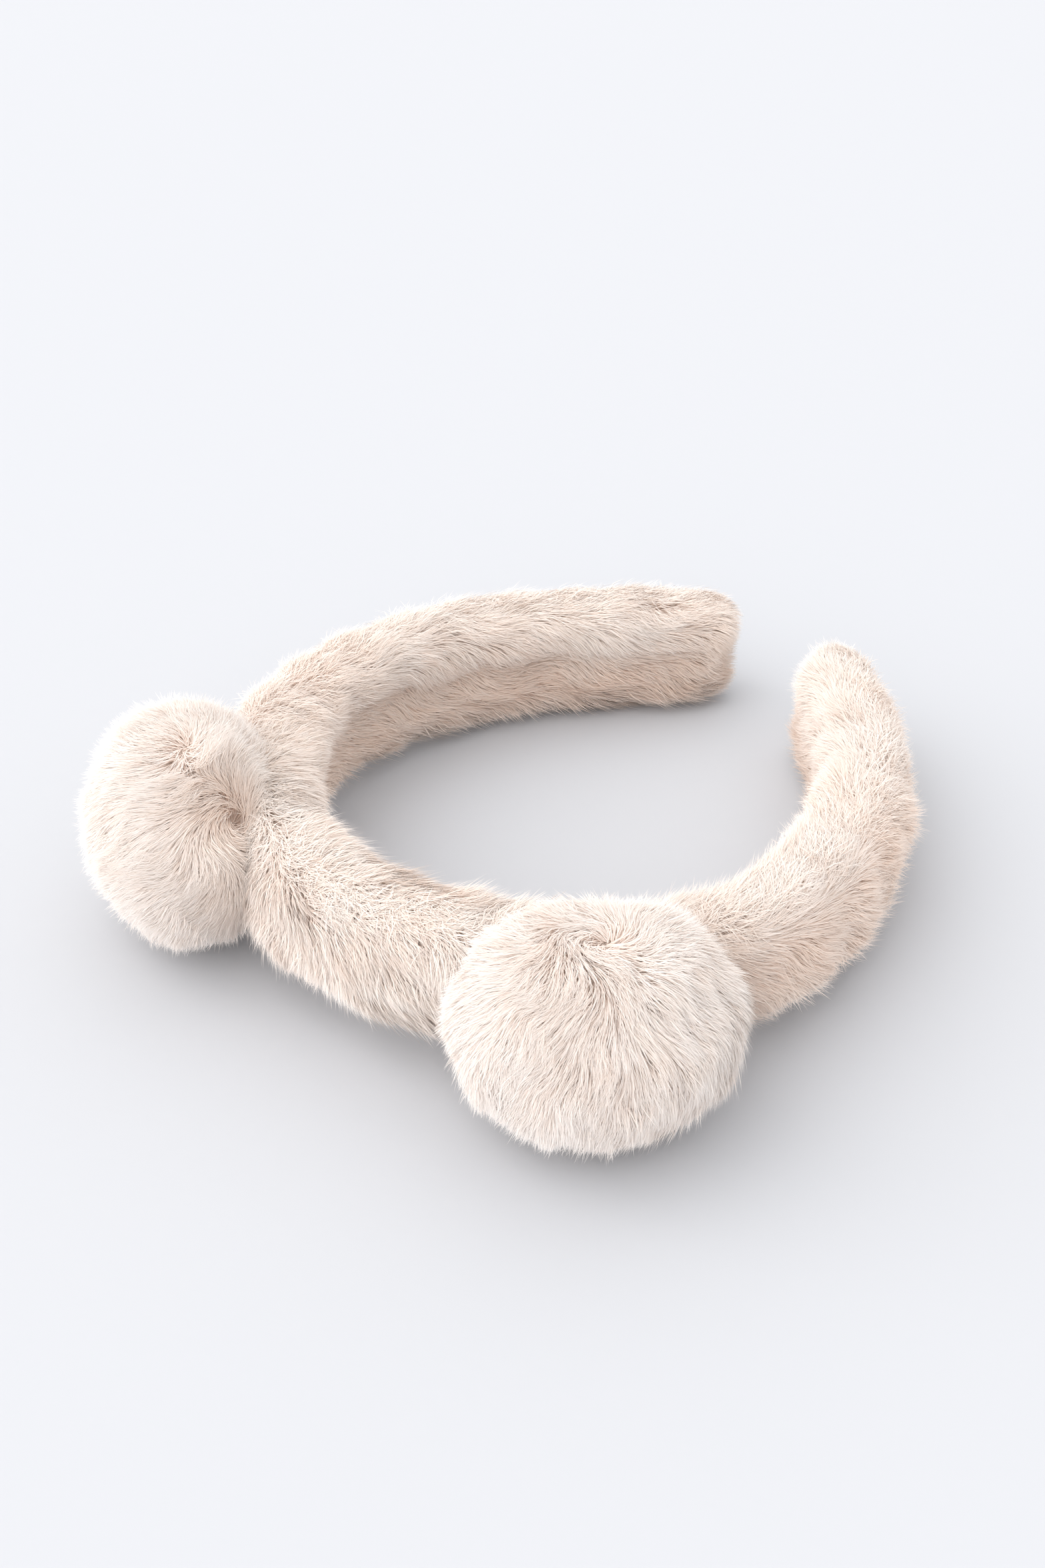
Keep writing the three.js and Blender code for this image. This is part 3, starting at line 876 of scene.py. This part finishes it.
# The pieces
band_finish = fur_material(
    "band_fur",
    warm=[(0.0, (243, 215, 197)), (0.45, (249, 227, 211)), (1.0, (253, 235, 222))],
    pale=[(0.0, (248, 233, 222)), (0.45, (253, 243, 235)), (1.0, (255, 250, 246))],
)
ear_finish = fur_material(
    "ear_fur",
    warm=[(0.0, (242, 216, 200)), (0.45, (248, 229, 215)), (1.0, (252, 239, 229))],
    pale=[(0.0, (249, 234, 224)), (0.45, (254, 244, 237)), (1.0, (255, 251, 248))],
)
backing = backing_material()

band_pieces = [band_skin(backing)]
for number, stretch in enumerate(BAND_STRETCHES):
    band_pieces.append(band_fur(stretch, BAND_SEED + number, band_finish))
for piece in band_pieces:
    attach(piece, "root")
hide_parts("band")

for number, name in enumerate(EAR_PARTINGS):
    skin = ear_skin(name, backing)
    fur = ear_fur(name, EAR_SEED + number, ear_finish)
    for piece in (skin, fur):
        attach(piece, "root")
    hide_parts(name)


def stage_floor():
    """A wide pale table"""
    half = 3.0
    corners = [(-half, -half, 0), (half, -half, 0), (half, half, 0), (-half, half, 0)]
    mesh = bpy.data.meshes.new("floor")
    mesh.from_pydata(corners, [], [(0, 1, 2, 3)])
    material, nodes, links, shader = node_material("table_paint", 0.7, 0.0)
    noise = nodes.new("ShaderNodeTexNoise")
    noise.inputs["Scale"].default_value = 3
    ramp = ramp_of(nodes, [(0.0, (209, 210, 214)), (1.0, (211, 212, 216))])
    links.new(noise.outputs["Fac"], ramp.inputs["Fac"])
    links.new(ramp.outputs["Color"], shader.inputs["Base Color"])
    placed("floor", mesh, material)


LIGHT_SPREAD = 105


def far_light(name, place, spread, strength, colour):
    """A large soft light, far away towards a place. spread: how wide it looks, in degrees."""
    data = bpy.data.lights.new(name, "SUN")
    data.angle = math.radians(spread)
    data.energy = strength
    data.color = colour
    light = bpy.data.objects.new(name, data)
    bpy.context.scene.collection.objects.link(light)
    look_at(light, place, (0, 0, 0))


stage_floor()
far_light("key", (-0.26, -0.80, 0.52), LIGHT_SPREAD, 1.9, (1.0, 0.99, 0.98))
far_light("side", (-0.75, -0.20, 0.55), LIGHT_SPREAD, 0.3, (1.0, 0.99, 0.98))
far_light("back", (-0.60, 0.45, 0.60), LIGHT_SPREAD, 0.7, (1.0, 0.995, 0.99))
world = bpy.data.worlds.new("studio")
world.use_nodes = True
background = world.node_tree.nodes["Background"]
background.inputs["Color"].default_value = (0.98, 0.99, 1.0, 1)
background.inputs["Strength"].default_value = 0.88
bpy.context.scene.world = world
bpy.context.scene.view_settings.view_transform = "Standard"
